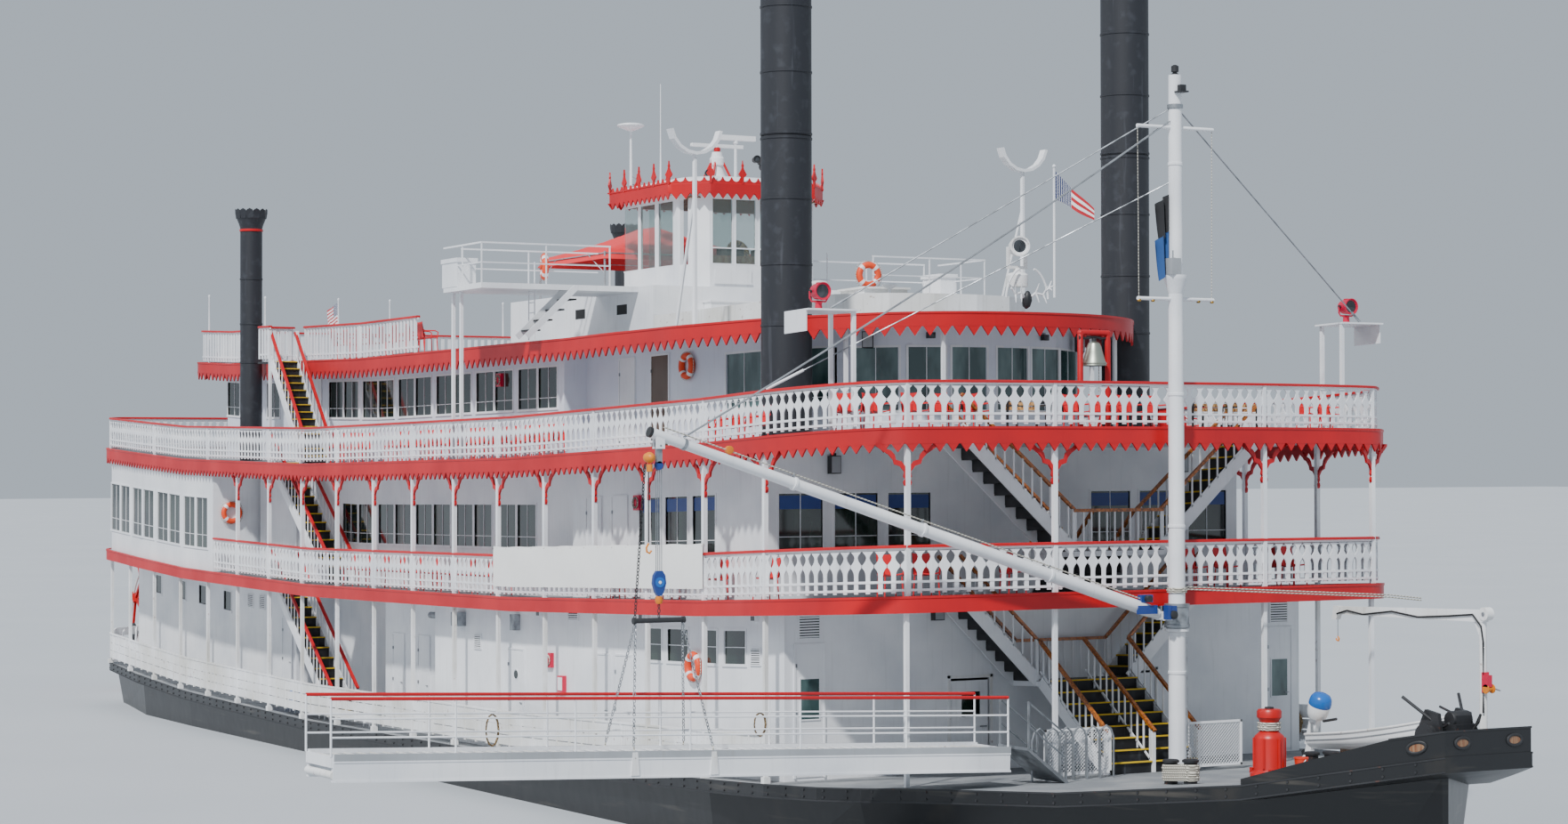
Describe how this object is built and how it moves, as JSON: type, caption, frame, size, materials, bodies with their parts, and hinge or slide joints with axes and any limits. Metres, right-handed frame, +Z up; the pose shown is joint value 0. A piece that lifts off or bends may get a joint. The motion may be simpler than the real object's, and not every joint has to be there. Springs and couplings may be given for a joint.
{
  "type": "sternwheel paddle boat, scale model",
  "caption": "Passenger sternwheel paddle boat, scale model: flat hull, open decks, two folding stacks, pilothouse, landing stage on a boom, and a turning stern wheel.",
  "frame": {"origin": "centre of the hull's flat bottom, below the middle of the decks", "axes": "+X to the bow, +Y to port, +Z up; the decks' sweep is lowest at X = -0.9 m"},
  "size_m": [6.92, 2.706, 2.35],
  "materials": {
    "white_paint": "satin",
    "red_paint": "satin",
    "black_paint": "satin",
    "deck_paint": "matte",
    "bare_aluminium": "satin",
    "blue_paint": "gloss",
    "flag_cloth": "matte",
    "bell_bronze": "satin"
  },
  "bodies": {
    "boat": {"hull": "black_paint", "main_deck": "deck_paint", "main_deck_rail": "white_paint", "gangway_gates": "white_paint", "bow_bulwark": "black_paint", "main_house": "white_paint", "lower_stair": "white_paint", "deck_2": "white_paint", "deck_2_rail": "white_paint", "deck_2_fascia": "red_paint", "house_2": "white_paint", "stern_house": "white_paint", "upper_stair": "white_paint", "deck_3": "white_paint", "deck_3_rail": "white_paint", "deck_3_fascia": "red_paint", "house_3": "white_paint", "roof_deck": "white_paint", "roof_rail": "white_paint", "roof_fascia_aft": "red_paint", "roof_fascia_front": "red_paint", "texas_house": "white_paint", "roof_trunk": "white_paint", "roof_canopy": "flag_cloth", "pilothouse": "white_paint", "pilothouse_roof": "red_paint", "mast": "white_paint", "boarding_ramp": "bare_aluminium", "windlass": "black_paint", "skiff": "white_paint", "outboard": "blue_paint", "bell": "bell_bronze", "wheel_beams": "white_paint", "stern_flag": "flag_cloth", "mast_flag": "flag_cloth", "aft_stairs_starboard": "black_paint", "bridge_wing_starboard": "white_paint", "stack_base_starboard": "black_paint", "rear_stack_starboard": "black_paint", "searchlight_starboard": "red_paint", "aft_stairs_port": "black_paint", "bridge_wing_port": "white_paint", "stack_base_port": "black_paint", "rear_stack_port": "black_paint", "searchlight_port": "red_paint"},
    "wheel": {"paddle_wheel": "red_paint"},
    "rudder_centre": {"rudder_centre": "black_paint"},
    "rudder_starboard": {"rudder_starboard": "black_paint"},
    "rudder_port": {"rudder_port": "black_paint"},
    "stack_starboard": {"stack_starboard": "black_paint"},
    "stack_port": {"stack_port": "black_paint"},
    "boom_collar": {"boom_collar": "bare_aluminium"},
    "boom": {"boom": "white_paint"},
    "stage": {"landing_stage": "white_paint", "tackle": "blue_paint"},
    "davit": {"davit_crane": "white_paint"},
    "radar": {"radar_bar": "white_paint"},
    "door_starboard": {"main_door_starboard": "white_paint"},
    "door_port": {"main_door_port": "white_paint"},
    "capstan": {"capstan": "red_paint"}
  },
  "joints": [
    {"name": "wheel_turn", "type": "hinge", "parent": "boat", "child": "wheel", "pos_m": [-3.45, 0, 0.37], "axis": [0, 1, 0], "continuous": true},
    {"name": "rudder_turn", "type": "hinge", "parent": "boat", "child": "rudder_centre", "pos_m": [-2.99, 0, 0.05], "axis": [0, 0, 1], "range_deg": [-35, 35]},
    {"name": "rudder_turn_starboard", "type": "hinge", "parent": "boat", "child": "rudder_starboard", "pos_m": [-2.99, -0.3, 0.05], "axis": [0, 0, 1], "range_deg": [-35, 35]},
    {"name": "rudder_turn_port", "type": "hinge", "parent": "boat", "child": "rudder_port", "pos_m": [-2.99, 0.3, 0.05], "axis": [0, 0, 1], "range_deg": [-35, 35]},
    {"name": "stack_fold_starboard", "type": "hinge", "parent": "boat", "child": "stack_starboard", "pos_m": [1.3315, -0.476, 1.737], "axis": [0, -1, 0], "range_deg": [0, 90]},
    {"name": "stack_fold_port", "type": "hinge", "parent": "boat", "child": "stack_port", "pos_m": [1.3315, 0.476, 1.737], "axis": [0, -1, 0], "range_deg": [0, 90]},
    {"name": "boom_slew", "type": "hinge", "parent": "boat", "child": "boom_collar", "pos_m": [2.236, 0, 0.666], "axis": [0, 0, 1], "range_deg": [0, 35]},
    {"name": "boom_luff", "type": "hinge", "parent": "boom_collar", "child": "boom", "pos_m": [2.236, -0.036, 0.666], "axis": [-1, 0, 0], "range_deg": [0, 5]},
    {"name": "stage_level", "type": "hinge", "parent": "boom", "child": "stage", "pos_m": [2.236, -1.238, 1.026], "axis": [-1, 0, 0], "range_deg": [-5, 0]},
    {"name": "davit_slew", "type": "hinge", "parent": "boat", "child": "davit", "pos_m": [2.94, 0.215, 0.5], "axis": [0, 0, -1], "range_deg": [0, 90]},
    {"name": "radar_turn", "type": "hinge", "parent": "boat", "child": "radar", "pos_m": [0.19, 0, 1.84], "axis": [0, 0, 1], "continuous": true},
    {"name": "door_swing_starboard", "type": "hinge", "parent": "boat", "child": "door_starboard", "pos_m": [1.78, -0.277, 0.4], "axis": [0, 0, -1], "range_deg": [0, 95]},
    {"name": "door_swing_port", "type": "hinge", "parent": "boat", "child": "door_port", "pos_m": [1.78, 0.277, 0.4], "axis": [0, 0, 1], "range_deg": [0, 95]},
    {"name": "capstan_turn", "type": "hinge", "parent": "boat", "child": "capstan", "pos_m": [2.62, -0.06, 0.4], "axis": [0, 0, 1], "continuous": true}
  ],
  "couplings": [
    {"joint": "rudder_turn_starboard", "follows": "rudder_turn", "ratio": 1},
    {"joint": "rudder_turn_port", "follows": "rudder_turn", "ratio": 1},
    {"joint": "stage_level", "follows": "boom_luff", "ratio": -1}
  ]
}
